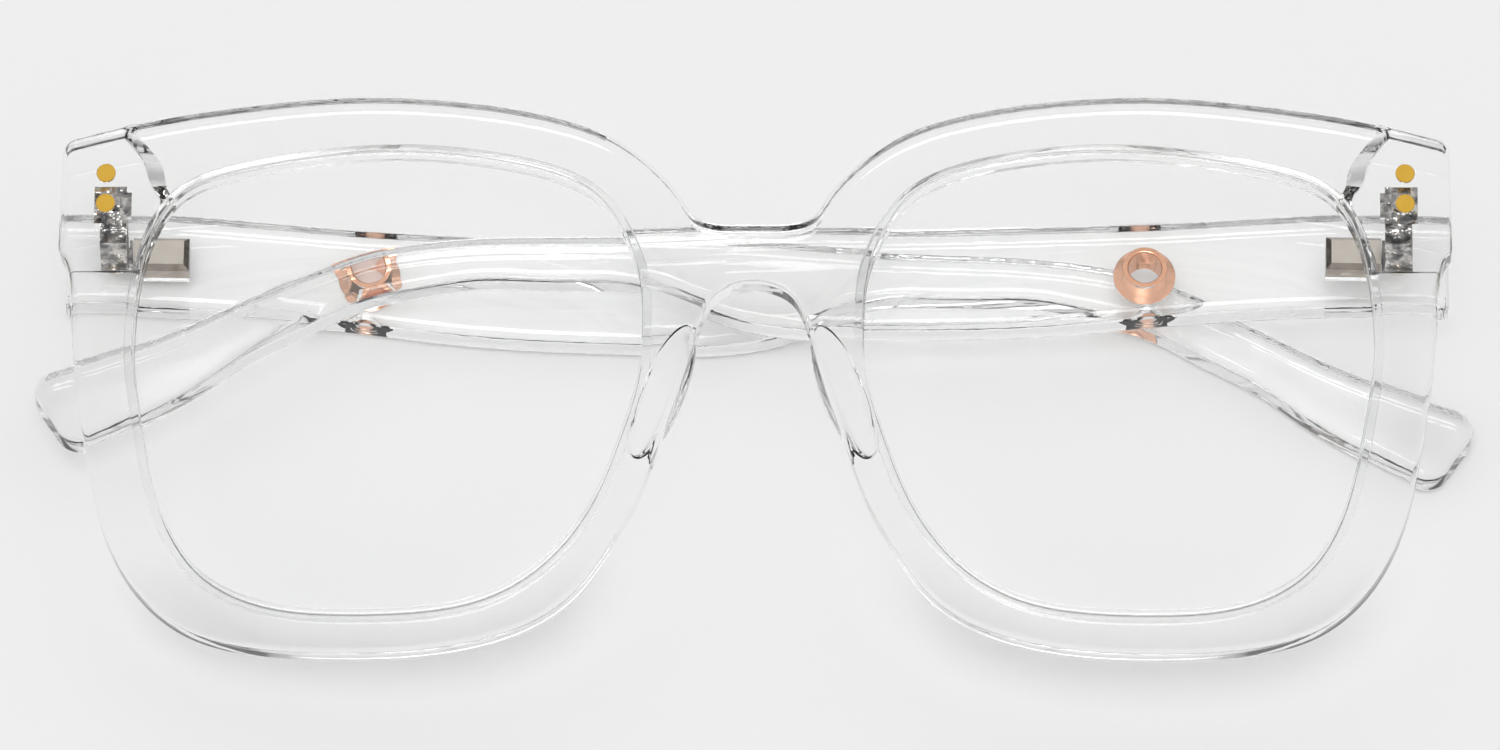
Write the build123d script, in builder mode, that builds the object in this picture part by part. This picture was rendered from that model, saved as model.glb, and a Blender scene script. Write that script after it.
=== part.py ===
from build123d import *
import os
from math import asin, cos, degrees, radians, sin, sqrt, tan

os.makedirs("parts", exist_ok=True)

# Square eyeglasses in clear plastic, folded and lying on their temples.
# X runs to the right, Y towards the brow and Z up from the table. The left temple lies on
# the table, the right temple lies on top of it, and the front lies over both, face up.
# Left and right are the viewer's. Millimetres and degrees.

# Sizes as an optician gives them
lens_width = 55.0
lens_height = 51.9
bridge_width = 21.0
temple_thickness = 4.0

# Front
side_rim = 7.1
brow_rim = 5.2
chin_rim = 3.65
rim_depth = 3.7
front_curve_radius = 1200.0
groove_depth = 1.0
front_edge_round = 0.5
back_edge_round = 0.6
opening_edge_round = 0.2
corner_round = 1.5
brow_tilt = 8.0

# Lens
lens_thickness = 1.6
lens_setback = 1.1
lens_fit = 0.03
lens_edge_steps = 48

# Endpiece
endpiece_depth = 10.5
endpiece_round = 0.6
block_inset = 0.03
block_sunk = 0.15
block_edge_round = 0.35
block_slope = 45.0
block_slope_turn = 30.0
hinge_height = 17.5
joint_gap = 0.1

# Nose pads
pad_height = 15.5
pad_width = 4.4
pad_depth = 3.0
pad_sections = 5
pad_end_angle = 74.0
pad_from_middle = 9.4
pad_drop = 0.8
pad_lean = 20.0
pad_flare = 1.4
pad_root = 1.2

# Hinge
butt_overhang = 5.5
axis_offset = 1.6
knuckle_radius = 1.4
knuckle_height = 4.0
slider_knuckle_height = 1.4
knuckle_gap = 0.05
screw_radius = 0.6
screw_head_radius = 1.0
screw_head_height = 0.35
screw_slot_width = 0.25
screw_slot_depth = 0.18
running_gap = 0.03
seat_gap = 0.02
leaf_plate_thickness = 0.8
anchor_width = 3.4
anchor_height = 4.2
anchor_length = 3.6
anchor_drop = 0.4
anchor_step = 0.7
side_plate_thickness = 0.5
stud_radius = 1.0
stud_thickness = 0.4
stud_inset = 4.85
upper_stud_height = 23.0
lower_stud_height = 19.7
stud_proud = 0.12
stud_round = 0.1

# Spring box on the temple's inner face
box_start = 1.9
box_length = 5.5
box_height = 3.8
box_rise = 2.2
box_sunk = 1.4
box_bevel = 0.55
bore_rise = 0.75
bore_radius = 1.05
rod_radius = 0.5
shoulder_thickness = 0.35
shoulder_height = 3.0
shoulder_inset = 0.25
neck_height = 1.6
stop_bore_radius = 0.575
box_wall = 0.4
stop_thickness = 0.5
stop_inset = 0.15
spring_wire = 0.3
spring_turns = 3
spring_radius = 0.78
spring_length = 2.5
nut_radius = 0.9
nut_thickness = 0.55

# Temple
temple_reach = 143.6
temple_drop = 24.1
temple_height = 11.1
temple_edge_round = 1.0
butt_edge_round = 0.3
tip_corner_round = 2.6
stack_gap = 0.3

# Eyelet for a cord
eyelet_bore_radius = 1.75
eyelet_wall = 0.575
eyelet_flange_radius = 3.25
eyelet_flange_thickness = 0.5
eyelet_edge_round = 0.15
eyelet_from_axis = 26.3
eyelet_drop = 1.1

# How far cutting shapes run past what they cut
overrun = 2.0

# Where the brow is highest and the chin lowest, as a share of the front's half width
crown_share = 0.583

# Worked out from the sizes above
half_front_width = bridge_width / 2 + lens_width + side_rim
brow_height = lens_height / 2 + brow_rim
chin_drop = lens_height / 2 + chin_rim
lens_centre = (bridge_width + lens_width) / 2
half_opening_width = lens_width / 2 - groove_depth
half_opening_height = lens_height / 2 - groove_depth
hinge_half_span = half_front_width - temple_thickness - axis_offset
stack_rise = temple_thickness + stack_gap
low_axis_height = temple_thickness + axis_offset
mean_axis_height = low_axis_height + stack_rise / 2
front_roll = degrees(asin(stack_rise / 2 / hinge_half_span))
hinge_x = hinge_half_span * cos(radians(front_roll))
tilt_sin = sin(radians(brow_tilt))
tilt_cos = cos(radians(brow_tilt))


def sag(across):
    """How far the curved front has dropped back at this distance from its middle."""
    return front_curve_radius - sqrt(front_curve_radius**2 - across**2)


# The hinge plane holds both hinge axes: x across the front, y along the axes, z forward.
crown_depth = endpiece_depth + sag(hinge_half_span)
crown_y = -hinge_height * tilt_cos - crown_depth * tilt_sin
crown_z = -hinge_height * tilt_sin + crown_depth * tilt_cos
crown_line = crown_share * half_front_width
brow_edge_y = crown_y + brow_height * tilt_cos + (rim_depth + sag(crown_line)) * tilt_sin
chin_edge_y = crown_y - chin_drop * tilt_cos + sag(crown_line) * tilt_sin
hinge_y = -(brow_edge_y + chin_edge_y) / 2
across_direction = Vector(cos(radians(front_roll)), 0, sin(radians(front_roll)))
forward_direction = Vector(-sin(radians(front_roll)), 0, cos(radians(front_roll)))
hinge_plane = Plane(
    origin=(0, hinge_y, mean_axis_height), x_dir=across_direction, z_dir=forward_direction
)

# The front plane touches the middle of the front's face and leans back towards the chin.
front_origin = hinge_plane.from_local_coords((0, crown_y, crown_z))
front_normal = hinge_plane.from_local_coords((0, -tilt_sin, tilt_cos)) - hinge_plane.origin
front_up = hinge_plane.from_local_coords((0, tilt_cos, tilt_sin)) - hinge_plane.origin
front_plane = Plane(origin=front_origin, x_dir=across_direction, z_dir=front_normal)
# Seen from above: x across the front, y back into its depth.
plan_plane = Plane(origin=front_origin, x_dir=across_direction, z_dir=front_up)

# Left half of the front's outline, as shares of its half width and of its brow height,
# or of its chin drop below the middle. From the bridge's top edge out along the brow.
brow_shares = [
    (0.0, 0.541), (-0.055, 0.544), (-0.085, 0.571), (-0.103, 0.631), (-0.135, 0.724),
    (-0.181, 0.815), (-0.228, 0.877), (-0.292, 0.927), (-0.447, 0.987), (-crown_share, 1.0),
    (-0.722, 0.976), (-0.861, 0.930), (-0.996, 0.854),
]
# From the endpiece's foot down the side, along the chin and up the nose to the arch.
side_shares = [
    (-1.0, 0.490), (-0.9925, 0.447), (-0.985, 0.403), (-0.979, 0.25), (-0.974, 0.081),
    (-0.961, -0.150), (-0.946, -0.362), (-0.924, -0.553), (-0.879, -0.754),
    (-0.810, -0.901), (-0.700, -0.981), (-crown_share, -1.0),
    (-0.469, -0.990), (-0.375, -0.949), (-0.293, -0.867), (-0.235, -0.737), (-0.207, -0.631),
    (-0.169, -0.468), (-0.133, -0.235), (-0.095, 0.039), (-0.0736, 0.209), (-0.055, 0.287),
    (-0.029, 0.322), (0.0, 0.333),
]

# Lens opening, as shares of its half width and half height, outer side first.
opening_shares = [
    (-1.0, 0.20), (-0.989, 0.381), (-0.940, 0.621), (-0.830, 0.818), (-0.585, 0.926),
    (-0.230, 0.986), (0.019, 1.0), (0.472, 0.950), (0.683, 0.886), (0.819, 0.798),
    (0.921, 0.645), (0.985, 0.461), (1.0, 0.261), (0.992, 0.060), (0.917, -0.240),
    (0.826, -0.489), (0.547, -0.846), (0.374, -0.938), (0.158, -0.984), (-0.147, -0.995),
    (-0.468, -0.958), (-0.721, -0.818), (-0.872, -0.569), (-0.962, -0.160),
]

# Inner edge of the thick block behind the endpiece, where it leaves the rim's back, from the
# brow down, as shares of the half width and of the brow height.
block_edge_shares = [
    (-0.893, 0.900), (-0.866, 0.825), (-0.853, 0.765), (-0.848, 0.705), (-0.838, 0.665),
    (-0.845, 0.590), (-0.868, 0.500), (-0.882, 0.410),
]

# Temple from the hinge to the bend and on to the tip: distance from the hinge axis as a
# share of the reach, middle as a share of the drop, height as a share of temple_height.
butt_middle_share = 0.021
temple_shares = [
    (0.035, 0.017, 0.991), (0.18, -0.047, 0.995), (0.258, -0.084, 1.059),
    (0.379, -0.113, 1.059), (0.438, -0.114, 1.036), (0.490, -0.091, 0.865),
    (0.522, -0.058, 0.667), (0.554, -0.034, 0.518), (0.620, -0.033, 0.468),
    (0.671, -0.039, 0.441), (0.716, -0.080, 0.482), (0.747, -0.122, 0.495),
    (0.792, -0.245, 0.559), (0.834, -0.373, 0.604), (0.867, -0.499, 0.694),
    (0.919, -0.664, 0.802),
]
# The tip's upper and lower corners, as shares of the reach and of the drop.
tip_upper_share = (1.0, -0.649)
tip_lower_share = (0.962, -0.983)


sides = ((-1, "left"), (1, "right"))


def front_point(share_pair):
    """A point of the front's outline, from its pair of shares."""
    height = brow_height if share_pair[1] > 0 else chin_drop
    return (share_pair[0] * half_front_width, share_pair[1] * height)


def both_halves(points):
    """Points of the left half, then their mirror images back out on the right."""
    return points + [(-x, y) for x, y in reversed(points) if x != 0]


def draw_front_outline():
    """The front's whole outline in the active line context."""
    brow_points = both_halves([front_point(pair) for pair in reversed(brow_shares)])
    side_points = both_halves([front_point(pair) for pair in side_shares])
    corner, foot = brow_points[0], side_points[0]
    slope = (foot[0] - corner[0], foot[1] - corner[1])
    Spline(*brow_points)
    Spline(*side_points, tangents=(slope, (slope[0], -slope[1])))
    Line(corner, foot)
    Line(brow_points[-1], side_points[-1])


def opening_points(side):
    """Points round one lens opening."""
    return [
        (side * (lens_centre - x * half_opening_width), y * half_opening_height)
        for x, y in opening_shares
    ]


def draw_lens_opening(side):
    """One lens opening's outline in the active line context."""
    Spline(*opening_points(side), periodic=True)


def draw_lens_edge(side, outward):
    """The opening's outline moved outwards, in the active line context."""
    opening = Spline(*opening_points(side), periodic=True, mode=Mode.PRIVATE)
    points = []
    for step in range(lens_edge_steps):
        along = opening.tangent_at(step / lens_edge_steps)
        away = Vector(along.Y, -along.X) * side * outward
        points.append(opening.position_at(step / lens_edge_steps) + away)
    Spline(*points, periodic=True)


def trim_to_curve(front_depth, back_depth):
    """Keep what lies between two depths behind the curved face, in the active part."""
    with BuildSketch(plan_plane.offset(-half_front_width)) as slab:
        with Locations((0, front_curve_radius)):
            Circle(front_curve_radius - front_depth)
            Circle(front_curve_radius - back_depth, mode=Mode.SUBTRACT)
    extrude(slab.sketch, amount=half_front_width * 2, mode=Mode.INTERSECT)


def face_plane(across, up):
    """A plane on the curved face of the front, its normal straight out of it."""
    turn = across / front_curve_radius
    origin = front_plane.from_local_coords((across, up, -sag(across)))
    normal = front_normal * sqrt(1 - turn**2) + across_direction * turn
    return Plane(origin=origin, x_dir=front_up, z_dir=normal)


def hinge_box(side, x_range, y_range, z_range, mode=Mode.ADD):
    """A box in the hinge plane, x measured from the middle towards one side."""
    centre = hinge_plane.from_local_coords(
        (side * sum(x_range) / 2, sum(y_range) / 2, sum(z_range) / 2)
    )
    with Locations(Plane(origin=centre, x_dir=across_direction, z_dir=forward_direction)):
        Box(
            x_range[1] - x_range[0],
            y_range[1] - y_range[0],
            z_range[1] - z_range[0],
            mode=mode,
        )


def axis_height(side):
    """Height of one hinge axis above the table."""
    return mean_axis_height + side * stack_rise / 2


def axis_cylinder(side, radius, y_range, mode=Mode.ADD):
    """A cylinder on one hinge axis, between two places along it."""
    origin = (side * hinge_x, hinge_y + y_range[0], axis_height(side))
    with BuildSketch(Plane(origin=origin, z_dir=(0, 1, 0))) as section:
        Circle(radius)
    extrude(section.sketch, amount=y_range[1] - y_range[0], mode=mode)


def temple_box(side, from_axis, y_range, z_range, mode=Mode.ADD):
    """A box beside one hinge axis: from the axis towards the tip, along it and above it."""
    centre = (
        side * (hinge_x - sum(from_axis) / 2),
        hinge_y + sum(y_range) / 2,
        axis_height(side) + sum(z_range) / 2,
    )
    with Locations(centre):
        Box(
            from_axis[1] - from_axis[0],
            y_range[1] - y_range[0],
            z_range[1] - z_range[0],
            mode=mode,
        )


def bore_cylinder(side, radius, from_axis, mode=Mode.ADD):
    """A cylinder on the centre line of one spring box's bore."""
    origin = (side * (hinge_x - from_axis[0]), hinge_y, axis_height(side) + bore_z)
    with BuildSketch(Plane(origin=origin, z_dir=(-side, 0, 0))) as section:
        Circle(radius)
    extrude(section.sketch, amount=from_axis[1] - from_axis[0], mode=mode)


def temple_plane(side, height):
    """A level plane at a height above one hinge axis, its origin over that axis."""
    return Plane(origin=(side * hinge_x, hinge_y, axis_height(side) + height))


def draw_temple_outline(side):
    """One temple's side outline in the active line context."""
    upper = [(side * butt_overhang, butt_middle_share * temple_drop + temple_height / 2)]
    lower = [(side * butt_overhang, butt_middle_share * temple_drop - temple_height / 2)]
    for along, middle, height in temple_shares:
        x = -side * along * temple_reach
        upper.append((x, middle * temple_drop + height * temple_height / 2))
        lower.append((x, middle * temple_drop - height * temple_height / 2))
    for points, share in ((upper, tip_upper_share), (lower, tip_lower_share)):
        points.append((-side * share[0] * temple_reach, share[1] * temple_drop))
        Spline(*points)
    Line(upper[0], lower[0])
    Line(upper[-1], lower[-1])


def lens_blank(side, grow, mode=Mode.ADD):
    """One lens, or with a growth the groove that holds it."""
    with BuildSketch(front_plane.offset(-endpiece_depth)) as blank:
        with BuildLine():
            draw_lens_edge(side, groove_depth + grow)
        make_face()
    with BuildPart(mode=Mode.PRIVATE) as disc:
        extrude(blank.sketch, amount=endpiece_depth * 2)
        trim_to_curve(lens_setback - grow, lens_setback + lens_thickness + grow)
    add(disc.part, mode=mode)


# The hinge leaf: in the hinge plane, x from the middle, y along the axis, z forward
joint_z = butt_overhang + joint_gap
half_knuckle = knuckle_height / 2
half_slider_knuckle = slider_knuckle_height / 2
leaf_x = (hinge_half_span - knuckle_radius, hinge_half_span + knuckle_radius)
anchor_x = (leaf_x[0], leaf_x[0] + anchor_width)
anchor_y = (-anchor_drop, anchor_height - anchor_drop)
anchor_middle = joint_z + anchor_length / 2
plate_y = (-half_knuckle, anchor_y[1])
plate_z = (joint_z - leaf_plate_thickness, joint_z)
inner_face_z = -axis_offset
outer_face_z = -axis_offset - temple_thickness
bore_z = inner_face_z + bore_rise
box_end = box_start + box_length
stop_start = box_start + stop_inset
spring_start = stop_start + stop_thickness
spring_end = spring_start + spring_length
rod_end = spring_end + nut_thickness
shoulder_start = box_start - knuckle_gap - shoulder_thickness


def leaf_anchor(side, grow, mode=Mode.ADD):
    """The part of one hinge leaf sunk in the endpiece, grown by a fit for its pocket."""
    wide = (anchor_x[0] - grow, anchor_x[1] + grow)
    narrow = (anchor_x[0] + anchor_step - grow, anchor_x[1] - anchor_step + grow)
    side_plate = (anchor_x[0] - side_plate_thickness - grow, anchor_x[0] + anchor_step)
    tall = (anchor_y[0] - grow, anchor_y[1] + grow)
    short = (anchor_y[0] + anchor_step - grow, anchor_y[1] - anchor_step + grow)
    hinge_box(side, wide, tall, (joint_z, anchor_middle + grow), mode=mode)
    hinge_box(side, narrow, short, (joint_z, joint_z + anchor_length + grow), mode=mode)
    hinge_box(side, side_plate, short, (joint_z, anchor_middle + grow), mode=mode)


def stud_planes(side):
    """Where the two studs of one endpiece lie on the front's face."""
    across = side * (half_front_width - stud_inset)
    for height in (upper_stud_height, lower_stud_height):
        yield face_plane(across, height)


# How far the block's inner wall leans, across and up, for each step back from the rim, and
# how far back its edge is drawn
block_lean = (
    tan(radians(block_slope)) * cos(radians(block_slope_turn)),
    -tan(radians(block_slope)) * sin(radians(block_slope_turn)),
)
block_start = rim_depth + sag(half_front_width - side_rim)

# The two blocks that thicken the front behind its brow corners, back to the joint. Each
# starts inside the rim and stays a hair inside its outline.
with BuildPart() as endpiece_blocks:
    with BuildSketch(front_plane.offset(-endpiece_depth * 2)):
        with BuildLine():
            draw_front_outline()
        make_face()
        fillet(vertices().group_by(Axis.Y)[-1], corner_round)
        scale(by=1 - block_inset / half_front_width)
        with BuildLine():
            draw_lens_edge(-1, opening_edge_round + block_inset)
        make_face(mode=Mode.SUBTRACT)
    extrude(amount=endpiece_depth * 2)
    with BuildSketch(front_plane) as block_outline:
        with BuildLine():
            edge_points = [
                (x + block_lean[0] * block_start, y + block_lean[1] * block_start)
                for x, y in (front_point(pair) for pair in block_edge_shares)
            ]
            top, foot = edge_points[0], edge_points[-1]
            outside = -half_front_width - overrun
            above = brow_height + overrun
            Spline(*edge_points)
            Polyline(foot, (outside, foot[1]), (outside, above), (top[0], above), top)
        make_face()
        fillet(vertices().sort_by_distance(foot)[0], endpiece_round)
    extrude(
        block_outline.sketch,
        amount=endpiece_depth * 3,
        dir=-front_normal - across_direction * block_lean[0] - front_up * block_lean[1],
        mode=Mode.INTERSECT,
    )
    trim_to_curve(rim_depth - back_edge_round - block_sunk, endpiece_depth * 3)
    split(bisect_by=hinge_plane.offset(joint_z), keep=Keep.TOP)
    fillet(faces().sort_by(Axis(hinge_plane.origin, forward_direction))[0].edges(), block_edge_round)
    mirror(about=Plane(origin=front_origin, z_dir=across_direction))

# The nose pads: half egg shapes on the back of the rim, flaring away from the bridge
with BuildPart() as nose_pads:
    pad_place = (-pad_from_middle, -pad_drop)
    with BuildSketch(front_plane.offset(pad_root - rim_depth)):
        with Locations(pad_place):
            Ellipse(pad_height / 2, pad_width / 2, rotation=90 - pad_lean)
    for section in range(pad_sections):
        turn = radians(pad_end_angle) * section / (pad_sections - 1)
        with BuildSketch(front_plane.offset(-rim_depth - pad_depth * sin(turn))):
            with Locations((pad_place[0] - pad_flare * sin(turn), pad_place[1])):
                Ellipse(
                    pad_height / 2 * cos(turn), pad_width / 2 * cos(turn), rotation=90 - pad_lean
                )
    loft()
    mirror(about=Plane(origin=front_origin, z_dir=across_direction))

# Front frame: rims, bridge, endpieces and nose pads moulded in one piece
with BuildPart() as front_frame:
    with BuildSketch(front_plane.offset(-endpiece_depth * 2)):
        with BuildLine():
            draw_front_outline()
        make_face()
        fillet(vertices().group_by(Axis.Y)[-1], corner_round)
        for side, _ in sides:
            with BuildLine():
                draw_lens_opening(side)
            make_face(mode=Mode.SUBTRACT)
    extrude(amount=endpiece_depth * 3)
    trim_to_curve(0, rim_depth)
    forward = Axis(front_origin, front_normal)
    for pick, outer_round in ((0, back_edge_round), (1, front_edge_round)):
        shells = faces().sort_by(SortBy.AREA)[-2:].sort_by(forward)
        fillet(shells[pick].outer_wire().edges(), outer_round)
        for hole in (0, 1):
            shells = faces().sort_by(SortBy.AREA)[-2:].sort_by(forward)
            fillet(shells[pick].inner_wires()[hole].edges(), opening_edge_round)
    add(endpiece_blocks.part)
    add(nose_pads.part)
    for side, _ in sides:
        lens_blank(side, lens_fit, mode=Mode.SUBTRACT)
        leaf_anchor(side, seat_gap, mode=Mode.SUBTRACT)
        for place in stud_planes(side):
            with BuildSketch(place.offset(stud_proud - stud_thickness - seat_gap)):
                Circle(stud_radius + seat_gap)
            extrude(amount=stud_thickness * 2, mode=Mode.SUBTRACT)
front_frame.part.label = "front_frame"
export_step(front_frame.part, "parts/front_frame.step")

for side, suffix in sides:
    # Lens: follows the front's curve, sits in the groove round its opening
    with BuildPart() as lens:
        lens_blank(side, -lens_fit)
    lens.part.label = f"lens_{suffix}"
    export_step(lens.part, f"parts/lens_{suffix}.step")

    # Hinge leaf: two knuckles on arms from a plate whose anchor is sunk in the endpiece
    with BuildPart() as hinge_leaf:
        hinge_box(side, leaf_x, plate_y, plate_z)
        for end in (-1, 1):
            ends = sorted((end * (half_slider_knuckle + knuckle_gap), end * half_knuckle))
            axis_cylinder(side, knuckle_radius, ends)
            hinge_box(side, leaf_x, ends, (0, joint_z))
        leaf_anchor(side, 0)
        axis_cylinder(side, screw_radius + seat_gap, (-knuckle_height, knuckle_height), Mode.SUBTRACT)
    hinge_leaf.part.label = f"hinge_leaf_{suffix}"
    export_step(hinge_leaf.part, f"parts/hinge_leaf_{suffix}.step")

    # Hinge screw: its shaft is the hinge pin, its slotted head faces the chin
    with BuildPart() as hinge_screw:
        axis_cylinder(side, screw_radius, (-half_knuckle, half_knuckle))
        head_start = -half_knuckle - screw_head_height
        axis_cylinder(side, screw_head_radius, (head_start, -half_knuckle))
        hinge_box(
            side,
            leaf_x,
            (head_start - overrun, head_start + screw_slot_depth),
            (-screw_slot_width / 2, screw_slot_width / 2),
            mode=Mode.SUBTRACT,
        )
    hinge_screw.part.label = f"hinge_screw_{suffix}"
    export_step(hinge_screw.part, f"parts/hinge_screw_{suffix}.step")

    # Two decorative studs let into the face over the hinge
    with BuildPart() as gold_studs:
        for place in stud_planes(side):
            with BuildSketch(place.offset(stud_proud - stud_thickness)):
                Circle(stud_radius)
            extrude(amount=stud_thickness)
            fillet(edges(Select.LAST).sort_by(forward)[-1], stud_round)
    gold_studs.part.label = f"gold_studs_{suffix}"
    export_step(gold_studs.part, f"parts/gold_studs_{suffix}.step")

    # Slider: the temple's hinge knuckle with the rod that runs into the spring box
    with BuildPart() as hinge_slider:
        knuckle_y = (-half_slider_knuckle, half_slider_knuckle)
        axis_cylinder(side, knuckle_radius, knuckle_y)
        neck_top = bore_z + neck_height / 2
        temple_box(side, (0, shoulder_start), knuckle_y, (-knuckle_radius, -knuckle_radius + neck_height))
        temple_box(
            side,
            (shoulder_start, shoulder_start + shoulder_thickness),
            (-shoulder_height / 2, shoulder_height / 2),
            (inner_face_z + joint_gap, inner_face_z + box_rise - shoulder_inset),
        )
        bore_cylinder(side, rod_radius, (shoulder_start, rod_end))
        axis_cylinder(side, screw_radius + running_gap, (-knuckle_height, knuckle_height), Mode.SUBTRACT)
    hinge_slider.part.label = f"hinge_slider_{suffix}"
    export_step(hinge_slider.part, f"parts/hinge_slider_{suffix}.step")

    # Nut fixed on the far end of the rod
    with BuildPart() as slider_nut:
        bore_cylinder(side, nut_radius, (spring_end, rod_end))
        bore_cylinder(side, rod_radius + seat_gap, (spring_start, box_end), Mode.SUBTRACT)
    slider_nut.part.label = f"slider_nut_{suffix}"
    export_step(slider_nut.part, f"parts/slider_nut_{suffix}.step")

    # Coil spring round the rod, between the stop ring and the nut
    with BuildPart() as hinge_spring:
        coil_height = spring_length - spring_wire
        coil_start = (
            side * (hinge_x - spring_start - spring_wire / 2),
            hinge_y,
            axis_height(side) + bore_z,
        )
        with BuildLine() as coil:
            Helix(
                coil_height / spring_turns,
                coil_height,
                spring_radius,
                center=coil_start,
                direction=(-side, 0, 0),
            )
        wire_start = coil.line @ 0
        with BuildSketch(Plane(origin=wire_start, z_dir=coil.line % 0)):
            Circle(spring_wire / 2)
        sweep(path=coil.line, is_frenet=True)
    hinge_spring.part.label = f"hinge_spring_{suffix}"
    export_step(hinge_spring.part, f"parts/hinge_spring_{suffix}.step")

    # Stop ring in the mouth of the spring box
    with BuildPart() as spring_stop:
        bore_cylinder(side, bore_radius - seat_gap, (stop_start, spring_start))
        bore_cylinder(side, stop_bore_radius, (0, spring_end), Mode.SUBTRACT)
    spring_stop.part.label = f"spring_stop_{suffix}"
    export_step(spring_stop.part, f"parts/spring_stop_{suffix}.step")

    # Spring box: metal case let into the temple's inner face
    with BuildPart() as spring_housing:
        temple_box(
            side,
            (box_start, box_end),
            (-box_height / 2, box_height / 2),
            (inner_face_z - box_sunk, inner_face_z + box_rise),
        )
        lid = faces().sort_by(Axis.Z)[-1]
        chamfer(lid.edges().sort_by(Axis.X)[::side][:3], box_bevel)
        bore_cylinder(side, bore_radius, (0, box_end - box_wall), Mode.SUBTRACT)
    spring_housing.part.label = f"spring_housing_{suffix}"
    export_step(spring_housing.part, f"parts/spring_housing_{suffix}.step")

    # Temple: flat clear bar with a deep bend behind the ear
    with BuildPart() as temple:
        with BuildSketch(temple_plane(side, outer_face_z)):
            with BuildLine():
                draw_temple_outline(side)
            make_face()
            tips = vertices().sort_by(Axis.X)[:: side][:2]
            fillet(tips, tip_corner_round)
        extrude(amount=temple_thickness)
        for level in (0, -1):
            face = faces().sort_by(Axis.Z)[level]
            fillet(face.edges().sort_by(Axis.X)[::side][:-1], temple_edge_round)
        fillet(faces().sort_by(Axis.X)[::side][-1].edges(), butt_edge_round)
        temple_box(
            side,
            (box_start - seat_gap, box_end + seat_gap),
            (-box_height / 2 - seat_gap, box_height / 2 + seat_gap),
            (inner_face_z - box_sunk - seat_gap, overrun),
            mode=Mode.SUBTRACT,
        )
        eyelet_place = (-side * eyelet_from_axis, -eyelet_drop)
        with BuildSketch(temple_plane(side, outer_face_z - overrun)):
            with Locations(eyelet_place):
                Circle(eyelet_bore_radius + eyelet_wall + seat_gap)
        extrude(amount=temple_thickness + overrun * 2, mode=Mode.SUBTRACT)
        with BuildSketch(temple_plane(side, outer_face_z - overrun)):
            with Locations(eyelet_place):
                Circle(eyelet_flange_radius + seat_gap)
        extrude(amount=overrun + eyelet_flange_thickness + seat_gap, mode=Mode.SUBTRACT)
    temple.part.label = f"temple_{suffix}"
    export_step(temple.part, f"parts/temple_{suffix}.step")

    # Cord eyelet through the temple, flanged on the outer face
    with BuildPart() as eyelet:
        eyelet_place = (-side * eyelet_from_axis, -eyelet_drop)
        with BuildSketch(temple_plane(side, outer_face_z)):
            with Locations(eyelet_place):
                Circle(eyelet_bore_radius + eyelet_wall)
        extrude(amount=temple_thickness)
        with BuildSketch(temple_plane(side, outer_face_z)):
            with Locations(eyelet_place):
                Circle(eyelet_flange_radius)
        extrude(amount=eyelet_flange_thickness)
        with BuildSketch(temple_plane(side, outer_face_z)):
            with Locations(eyelet_place):
                Circle(eyelet_bore_radius)
        extrude(amount=temple_thickness, mode=Mode.SUBTRACT)
        for radius, level in (
            (eyelet_flange_radius, outer_face_z),
            (eyelet_bore_radius, outer_face_z),
            (eyelet_bore_radius, inner_face_z),
        ):
            ring_height = axis_height(side) + level
            rings = [
                ring
                for ring in edges().filter_by(GeomType.CIRCLE)
                if abs(ring.radius - radius) < seat_gap
                and abs(ring.center().Z - ring_height) < seat_gap
            ]
            fillet(rings, eyelet_edge_round)
    eyelet.part.label = f"eyelet_{suffix}"
    export_step(eyelet.part, f"parts/eyelet_{suffix}.step")
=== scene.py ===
import math

import bpy
from mathutils import Matrix, Vector


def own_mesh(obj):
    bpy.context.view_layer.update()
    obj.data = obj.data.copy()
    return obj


# Square eyeglasses in clear plastic, folded face up on a pale table.
# Metres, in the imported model's frame: +X right, +Y towards the brow, +Z up.

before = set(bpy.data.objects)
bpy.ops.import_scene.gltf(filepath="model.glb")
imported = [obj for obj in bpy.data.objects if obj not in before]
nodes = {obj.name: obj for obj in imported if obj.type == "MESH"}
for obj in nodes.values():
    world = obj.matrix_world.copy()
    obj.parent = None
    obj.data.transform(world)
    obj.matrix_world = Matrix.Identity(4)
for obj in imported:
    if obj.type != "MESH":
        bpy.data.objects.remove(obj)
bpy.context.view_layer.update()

# The photograph's view: its frame, its scale at the front, and where the front's middle lies
IMAGE_WIDTH, IMAGE_HEIGHT = 1500, 750
PIXELS_PER_METRE = 9630
MIDDLE_PIXEL = (753, 386)
DISTANCE = 1.5
NEAREST_SEEN = 0.01
SENSOR_WIDTH = 36.0
ELEVATION = math.radians(64.0)
ROLL = math.radians(0.85)

# Light: the room, as pairs of the sine of the height and a level, and the key lamp. Together they
# light a level white surface to white.
ROOM_LIGHT = ((0.0, 0.02), (0.14, 0.11), (0.36, 0.56), (0.6, 0.74))
KEY = 1.1
KEY_SOFTNESS = math.radians(28.0)
KEY_TILT = math.radians(10.0)
KEY_TURN = math.radians(192.0)

# How fine the noises of tint, polish and waves are
TINT_DETAIL, POLISH_DETAIL, WAVE_DETAIL = 3.0, 4.0, 2.0

# How far the clear plastics bend light. The pads' outer faces bend it less than the rims, as
# their soft outline in the photograph does.
PLASTIC_REFRACTION, PAD_REFRACTION, LENS_REFRACTION = 1.49, 1.2, 1.15

# Clear plastic: its two tints, and the scales of its drift in tint, of its polish and of its waves
PLASTIC_TINTS = ((0.98, 0.985, 0.985), (0.99, 0.99, 0.985))
LENS_TINTS = ((0.99, 0.995, 0.995), (1.0, 1.0, 1.0))
PLASTIC_TINT_SCALE = 60.0
PLASTIC_POLISH_SCALE = 900.0
PLASTIC_WAVE_SCALE = 70.0
PLASTIC_WAVE_DEPTH = 0.0004
PLASTIC_WAVINESS = 0.02

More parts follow.
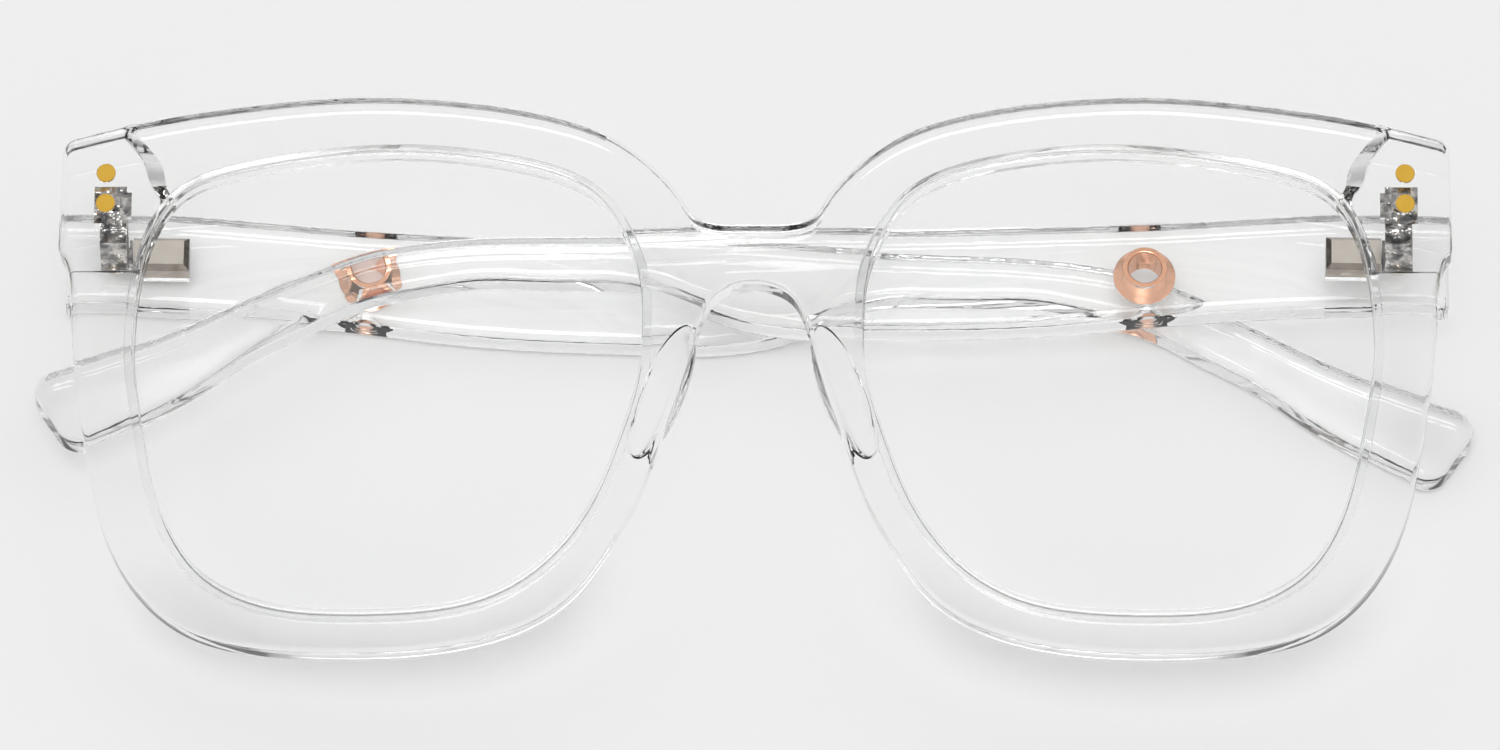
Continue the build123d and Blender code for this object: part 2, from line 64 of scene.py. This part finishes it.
# Where the rim's chin ends and its sides begin, and where the temples' lower edges end, along Y
CHIN_LINE = (-0.024, -0.016)
TEMPLE_LINE = (0.0115, 0.0145)

# How much light the plastic lets through, below its line and above it
RIM_LIGHT = (0.3, 0.9)
TEMPLE_LIGHT = (0.35, 0.9)
LENS_LIGHT = (1.0, 1.0)

# Metal: the scales of its drift in tint and of its polish, and its ripples' scale and depth
METAL_TINT_SCALE = 700.0
METAL_POLISH_SCALE = 2500.0
FINE_RIPPLES = (1500.0, 0.00005)
DEEP_RIPPLES = (700.0, 0.0006)

# The part of a noise's range that is stretched over the whole result
WHOLE_RANGE = (0.0, 1.0)
MIDDLE_RANGE = (0.35, 0.65)

# The spring box's faces whose normals rise less than this take a darker copy of the nickel:
# painted shade on its sides and bevels
BOX_FACE_RISE = 0.9

# The lean of the front's faces, and how far the pads lie from its middle and behind its face
FRONT_PITCH = math.radians(8.0)
PAD_REACH = 0.016
PAD_DEPTH = 0.0042

# The table: its level, the share of it that the tint drifts down to, and its size and place
PALE = 0.855
TABLE_DRIFT = 0.995
TABLE_TINT_SCALE = 4.0
TABLE_SIZE = 4.0
TABLE_GAP = 0.00005


def node_tree(name):
    """A new material, its node tree and its output, the only node in it."""
    material = bpy.data.materials.new(name)
    material.use_nodes = True
    tree = material.node_tree
    tree.nodes.clear()
    return material, tree, tree.nodes.new("ShaderNodeOutputMaterial")


def noise(tree, scale, detail, low, high, noise_range=WHOLE_RANGE):
    """A noise in the object's own space, mapped from its range to low and high."""
    place = tree.nodes.new("ShaderNodeTexCoord")
    texture = tree.nodes.new("ShaderNodeTexNoise")
    texture.inputs["Scale"].default_value = scale
    texture.inputs["Detail"].default_value = detail
    reach = tree.nodes.new("ShaderNodeMapRange")
    reach.inputs["From Min"].default_value = noise_range[0]
    reach.inputs["From Max"].default_value = noise_range[1]
    reach.inputs["To Min"].default_value = low
    reach.inputs["To Max"].default_value = high
    tree.links.new(place.outputs["Object"], texture.inputs["Vector"])
    tree.links.new(texture.outputs["Fac"], reach.inputs["Value"])
    return reach.outputs["Result"]


def blotches(tree, scale, first, second, noise_range=WHOLE_RANGE):
    """A colour that drifts between two tints over the surface."""
    mix = tree.nodes.new("ShaderNodeMix")
    mix.data_type = "RGBA"
    mix.inputs["A"].default_value = (*first, 1.0)
    mix.inputs["B"].default_value = (*second, 1.0)
    drift = noise(tree, scale, TINT_DETAIL, 0.0, 1.0, noise_range)
    tree.links.new(drift, mix.inputs["Factor"])
    return mix.outputs["Result"]


def waviness(tree, scale, strength, depth):
    """A bump that follows a noise."""
    bump = tree.nodes.new("ShaderNodeBump")
    bump.inputs["Strength"].default_value = strength
    bump.inputs["Distance"].default_value = depth
    tree.links.new(noise(tree, scale, WAVE_DETAIL, 0.0, 1.0), bump.inputs["Height"])
    return bump.outputs["Normal"]


def lighting_share(tree, line, light_through):
    """How much of a ray that lights other things passes straight on: the first share of
    light_through below the line along Y, the second above it. It is zero for rays that see."""
    path = tree.nodes.new("ShaderNodeLightPath")
    lighting = tree.nodes.new("ShaderNodeMath")
    lighting.operation = "MAXIMUM"
    tree.links.new(path.outputs["Is Shadow Ray"], lighting.inputs[0])
    tree.links.new(path.outputs["Is Diffuse Ray"], lighting.inputs[1])
    place = tree.nodes.new("ShaderNodeTexCoord")
    along = tree.nodes.new("ShaderNodeSeparateXYZ")
    share = tree.nodes.new("ShaderNodeMapRange")
    for key, value in zip(("From Min", "From Max", "To Min", "To Max"), line + light_through):
        share.inputs[key].default_value = value
    tree.links.new(place.outputs["Object"], along.inputs["Vector"])
    tree.links.new(along.outputs["Y"], share.inputs["Value"])
    passing = tree.nodes.new("ShaderNodeMath")
    passing.operation = "MULTIPLY"
    tree.links.new(lighting.outputs["Value"], passing.inputs[0])
    tree.links.new(share.outputs["Result"], passing.inputs[1])
    return passing.outputs["Value"]


def clear_plastic(name, tints, refraction, roughness, line, light_through, wave=PLASTIC_WAVINESS):
    """Clear polished plastic. Light reaches what lies under it as far as light_through says."""
    material, tree, output = node_tree(name)
    shader = tree.nodes.new("ShaderNodeBsdfPrincipled")
    shader.inputs["Transmission Weight"].default_value = 1.0
    shader.inputs["IOR"].default_value = refraction
    tint = blotches(tree, PLASTIC_TINT_SCALE, *tints)
    tree.links.new(tint, shader.inputs["Base Color"])
    polish = noise(tree, PLASTIC_POLISH_SCALE, POLISH_DETAIL, *roughness)
    tree.links.new(polish, shader.inputs["Roughness"])
    waves = waviness(tree, PLASTIC_WAVE_SCALE, wave, PLASTIC_WAVE_DEPTH)
    tree.links.new(waves, shader.inputs["Normal"])
    passing = lighting_share(tree, line, light_through)
    open_air = tree.nodes.new("ShaderNodeBsdfTransparent")
    mix = tree.nodes.new("ShaderNodeMixShader")
    tree.links.new(passing, mix.inputs["Fac"])
    tree.links.new(shader.outputs["BSDF"], mix.inputs[1])
    tree.links.new(open_air.outputs["BSDF"], mix.inputs[2])
    tree.links.new(mix.outputs["Shader"], output.inputs["Surface"])
    return material


def plated_metal(
    name, first, second, roughness, wave, ripples=FINE_RIPPLES, tint_range=WHOLE_RANGE
):
    """Plated metal whose colour and polish drift over the surface: faint wear where its two tints
    lie close, painted reflection and shade where they lie far apart.
    """
    material, tree, output = node_tree(name)
    shader = tree.nodes.new("ShaderNodeBsdfPrincipled")
    shader.inputs["Metallic"].default_value = 1.0
    tint = blotches(tree, METAL_TINT_SCALE, first, second, tint_range)
    tree.links.new(tint, shader.inputs["Base Color"])
    polish = noise(tree, METAL_POLISH_SCALE, POLISH_DETAIL, *roughness)
    tree.links.new(polish, shader.inputs["Roughness"])
    scale, depth = ripples
    tree.links.new(waviness(tree, scale, wave, depth), shader.inputs["Normal"])
    tree.links.new(shader.outputs["BSDF"], output.inputs["Surface"])
    return material


rim_plastic = clear_plastic(
    "clear rim plastic", PLASTIC_TINTS, PLASTIC_REFRACTION, (0.0, 0.03), CHIN_LINE, RIM_LIGHT
)
temple_plastic = clear_plastic(
    "clear temple plastic",
    PLASTIC_TINTS,
    PLASTIC_REFRACTION,
    (0.0, 0.04),
    TEMPLE_LINE,
    TEMPLE_LIGHT,
)
pad_plastic = clear_plastic(
    "clear pad plastic", PLASTIC_TINTS, PAD_REFRACTION, (0.0, 0.03), CHIN_LINE, RIM_LIGHT
)
lens_plastic = clear_plastic(
    "clear lens", LENS_TINTS, LENS_REFRACTION, (0.0, 0.008), CHIN_LINE, LENS_LIGHT, wave=0.0
)
nickel = plated_metal("nickel plate", (0.62, 0.57, 0.51), (0.74, 0.68, 0.61), (0.16, 0.3), 0.15)
# A darker copy of the nickel: painted shade for the spring box's sides and bevels
nickel_painted_shade = plated_metal("nickel with painted shade", (0.2, 0.17, 0.14), (0.62, 0.56, 0.5), (0.1, 0.2), 0.15)
# Steel whose colour drifts from near black to light: painted dark and bright reflections on the
# hinge leaves and sliders
steel_painted_reflections = plated_metal(
    "steel with painted reflections",
    (0.05, 0.05, 0.055),
    (0.7, 0.67, 0.64),
    (0.05, 0.15),
    1.0,
    DEEP_RIPPLES,
    MIDDLE_RANGE,
)
steel = plated_metal("spring wire", (0.5, 0.49, 0.48), (0.62, 0.61, 0.6), (0.2, 0.35), 0.1)
gold = plated_metal("gold plate", (0.86, 0.5, 0.06), (0.95, 0.6, 0.11), (0.2, 0.35), 0.1)
rose_gold = plated_metal("rose gold plate", (0.9, 0.48, 0.31), (0.96, 0.56, 0.38), (0.1, 0.2), 0.1)

FINISHES = {
    "front_frame": rim_plastic,
    "temple": temple_plastic,
    "lens": lens_plastic,
    "hinge_leaf": steel_painted_reflections,
    "hinge_screw": nickel,
    "hinge_slider": steel_painted_reflections,
    "slider_nut": nickel,
    "spring_stop": nickel,
    "spring_housing": nickel,
    "hinge_spring": steel,
    "gold_studs": gold,
    "eyelet": rose_gold,
}


def kind_of(name):
    """A node's name without its side."""
    return name.removesuffix("_left").removesuffix("_right")


for name, piece in nodes.items():
    piece.data.materials.clear()
    piece.data.materials.append(FINISHES[kind_of(name)])
    # The spring box's sides and bevels, which do not face up, get the darker nickel as painted
    # shade
    if kind_of(name) == "spring_housing":
        piece.data.materials.append(nickel_painted_shade)
        for face in piece.data.polygons:
            face.material_index = int(face.normal.z < BOX_FACE_RISE)

# The coils rest against the nuts, at their ends nearer the middle. Each spring gets a mesh of its
# own; its end nearer the middle is found, but nothing is moved to it
for suffix, inner in (("left", max), ("right", min)):
    spring = nodes[f"hinge_spring_{suffix}"]
    ends = [corner[0] for corner in spring.bound_box]
    anchor = (inner(ends), 0.0, 0.0)
    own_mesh(spring)

# The nose pads stand out behind the front, whose faces lean back by FRONT_PITCH
front_normal = Vector((0.0, -math.sin(FRONT_PITCH), math.cos(FRONT_PITCH)))
front_mesh = nodes["front_frame"].data
front_mesh.materials.append(pad_plastic)
middle_faces = [face for face in front_mesh.polygons if abs(face.center.x) < PAD_REACH]
front_level = max(face.center.dot(front_normal) for face in middle_faces)
for face in middle_faces:
    face.material_index = int(front_level - face.center.dot(front_normal) > PAD_DEPTH)

# Table
material, tree, output = node_tree("pale table")
shader = tree.nodes.new("ShaderNodeBsdfPrincipled")
shader.inputs["Roughness"].default_value = 1.0
shader.inputs["Specular IOR Level"].default_value = 0.0
table_tint = blotches(tree, TABLE_TINT_SCALE, (PALE,) * 3, (PALE * TABLE_DRIFT,) * 3)
tree.links.new(table_tint, shader.inputs["Base Color"])
tree.links.new(shader.outputs["BSDF"], output.inputs["Surface"])
half = TABLE_SIZE / 2
corners = [(x * half, y * half, -TABLE_GAP) for x, y in ((-1, -1), (1, -1), (1, 1), (-1, 1))]
table_mesh = bpy.data.meshes.new("table")
table_mesh.from_pydata(corners, [], [(0, 1, 2, 3)])
table = bpy.data.objects.new("table", table_mesh)
table.data.materials.append(material)
bpy.context.scene.collection.objects.link(table)

# World: a pale room, dark low down, so that clear edges show as dark lines
world = bpy.data.worlds.new("room")
bpy.context.scene.world = world
world.use_nodes = True
tree = world.node_tree
tree.nodes.clear()
direction = tree.nodes.new("ShaderNodeTexCoord")
split = tree.nodes.new("ShaderNodeSeparateXYZ")
rise = tree.nodes.new("ShaderNodeValToRGB")
for height, _ in ROOM_LIGHT[2:]:
    rise.color_ramp.elements.new(height)
for element, (height, level) in zip(rise.color_ramp.elements, ROOM_LIGHT):
    element.position = height
    element.color = (level, level, level, 1.0)
room = tree.nodes.new("ShaderNodeBackground")
output = tree.nodes.new("ShaderNodeOutputWorld")
tree.links.new(direction.outputs["Generated"], split.inputs["Vector"])
tree.links.new(split.outputs["Z"], rise.inputs["Fac"])
tree.links.new(rise.outputs["Color"], room.inputs["Color"])
tree.links.new(room.outputs["Background"], output.inputs["Surface"])

# Key light: soft, from nearly straight above, and not mirrored in the polished faces
key_data = bpy.data.lights.new("key", "SUN")
key_data.energy = KEY
key_data.angle = KEY_SOFTNESS
key = bpy.data.objects.new("key", key_data)
key_direction = Vector(
    (
        math.sin(KEY_TILT) * math.sin(KEY_TURN),
        math.sin(KEY_TILT) * math.cos(KEY_TURN),
        math.cos(KEY_TILT),
    )
)
key.visible_glossy = False
key.rotation_euler = key_direction.to_track_quat("Z", "Y").to_euler()
bpy.context.scene.collection.objects.link(key)

# Camera, turned a little about its own axis so that the front lies level in the picture. The
# middle between the lenses falls on its pixel.
lens_corners = [
    nodes[name].matrix_world @ Vector(corner)
    for name in ("lens_left", "lens_right")
    for corner in nodes[name].bound_box
]
lens_middle = (Vector(map(min, *lens_corners)) + Vector(map(max, *lens_corners))) / 2
back = Vector((0, -math.cos(ELEVATION), math.sin(ELEVATION)))
right = Vector((1, 0, 0))
up = back.cross(right)
turn = Matrix.Rotation(ROLL, 3, back)
right, up = turn @ right, turn @ up
aim = (
    lens_middle
    - right * (MIDDLE_PIXEL[0] - IMAGE_WIDTH / 2) / PIXELS_PER_METRE
    + up * (MIDDLE_PIXEL[1] - IMAGE_HEIGHT / 2) / PIXELS_PER_METRE
)
camera_data = bpy.data.cameras.new("camera")
camera_data.lens = DISTANCE * SENSOR_WIDTH * PIXELS_PER_METRE / IMAGE_WIDTH
camera_data.sensor_width = SENSOR_WIDTH
camera_data.clip_start = NEAREST_SEEN
camera = bpy.data.objects.new("camera", camera_data)
rotation = Matrix((right, up, back)).transposed()
camera.matrix_world = Matrix.Translation(aim + back * DISTANCE) @ rotation.to_4x4()
bpy.context.scene.collection.objects.link(camera)
bpy.context.scene.camera = camera
bpy.context.scene.view_settings.view_transform = "Standard"
